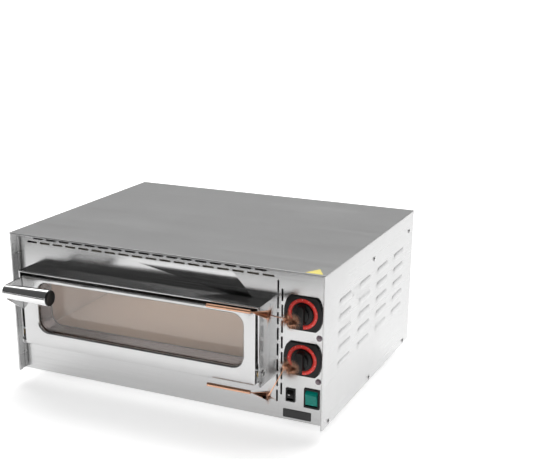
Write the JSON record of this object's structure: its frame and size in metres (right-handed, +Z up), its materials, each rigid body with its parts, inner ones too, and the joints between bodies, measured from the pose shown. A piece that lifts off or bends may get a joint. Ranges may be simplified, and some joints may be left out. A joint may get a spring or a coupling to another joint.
{
  "type": "deck oven",
  "caption": "Counter-top stainless deck oven with a drop-down window door, a stone deck, heating elements, thermostat knobs and rocker switches.",
  "frame": {"origin": "middle of the overall box at the level of the feet's undersides", "axes": "+Z up, the door faces -Y, +X to the right seen from the front"},
  "size_m": [0.575, 0.537, 0.273],
  "materials": {
    "steel_top": "brushed stainless sheet",
    "steel_side": "fine-brushed stainless sheet",
    "steel_polished": "mirror-polished stainless sheet",
    "steel_rear": "mill-finish stainless sheet",
    "steel_duct": "stainless sheet darkened by heat",
    "steel_chamber": "heat-tinted stainless sheet",
    "galvanised": "galvanised sheet",
    "fastener": "bright zinc-plated steel",
    "chrome": "polished chrome",
    "brass": "turned brass",
    "copper": "drawn copper",
    "rubber": "moulded rubber",
    "black_plastic": "moulded black plastic, satin",
    "black_gloss": "moulded black plastic, glossy",
    "green_plastic": "translucent green plastic",
    "lens": "translucent lamp lens",
    "marker": "plain yellow film",
    "badge": "plain dark plate",
    "door_glass": "clear toughened glass",
    "lamp_glass": "frosted lamp lens",
    "stone": "refractory stone, matt and unglazed",
    "insulation": "mineral wool mat",
    "element": "oxidised steel sheath",
    "ceramic": "glazed ceramic",
    "thermostat_body": "steel and bakelite body"
  },
  "bodies": {
    "casing": {"top_cover": "steel_top", "side_left": "steel_side", "side_right": "steel_side", "front_panel": "steel_polished", "back_panel": "steel_rear", "base_pan": "galvanised", "feet": "rubber", "foot_bolts": "fastener", "casing_screws": "fastener", "top_marker": "marker", "badge_plate": "badge", "door_hood": "steel_polished", "hinge_pins": "fastener", "stop_studs": "fastener", "chamber_floor": "steel_chamber", "chamber_roof": "steel_chamber", "chamber_left": "steel_chamber", "chamber_right": "steel_chamber", "chamber_back": "steel_chamber", "stone_deck": "stone", "deck_rails": "steel_chamber", "lower_element": "element", "upper_element": "element", "chamber_lamp": "lamp_glass", "sensor_bulbs": "copper", "insulation_top": "insulation", "insulation_base": "insulation", "insulation_wrap": "insulation", "bulkhead": "galvanised", "dial_plates": "black_gloss", "thermostats": "thermostat_body", "pilot_lamps": "lens", "light_switch_frame": "black_plastic", "main_switch_frame": "black_plastic", "terminal_block": "ceramic", "cable_gland": "black_plastic"},
    "door": {"door_skin": "steel_polished", "door_liner": "steel_rear", "window_duct": "steel_duct", "outer_glass": "door_glass", "inner_glass": "door_glass", "glass_clips": "galvanised", "door_insulation": "insulation", "hinge_bushes": "brass", "door_studs": "fastener", "handle_bracket": "steel_polished", "handle_grip": "chrome", "handle_cap": "black_plastic", "handle_bolt": "chrome", "bracket_screws": "fastener"},
    "upper_knob": {"knob_top": "black_plastic", "shaft_top": "fastener"},
    "lower_knob": {"knob_bottom": "black_plastic", "shaft_bottom": "fastener"},
    "light_rocker": {"light_switch_rocker": "black_gloss"},
    "main_rocker": {"main_switch_rocker": "green_plastic"}
  },
  "joints": [
    {"name": "door_hinge", "type": "hinge", "parent": "casing", "child": "door", "pos_m": [-0.0325, -0.1853, 0.1043], "axis": [1, 0, 0], "range_deg": [0, 88]},
    {"name": "upper_knob_turn", "type": "hinge", "parent": "casing", "child": "upper_knob", "pos_m": [0.2448, -0.1617, 0.20325], "axis": [0, 1, 0], "range_deg": [0, 300]},
    {"name": "lower_knob_turn", "type": "hinge", "parent": "casing", "child": "lower_knob", "pos_m": [0.2448, -0.1617, 0.12895], "axis": [0, 1, 0], "range_deg": [0, 300]},
    {"name": "light_switch_rock", "type": "hinge", "parent": "casing", "child": "light_rocker", "pos_m": [0.2255, -0.1567, 0.0658], "axis": [1, 0, 0], "range_deg": [-16, 0]},
    {"name": "main_switch_rock", "type": "hinge", "parent": "casing", "child": "main_rocker", "pos_m": [0.2611, -0.1567, 0.0658], "axis": [1, 0, 0], "range_deg": [-16, 0]}
  ]
}
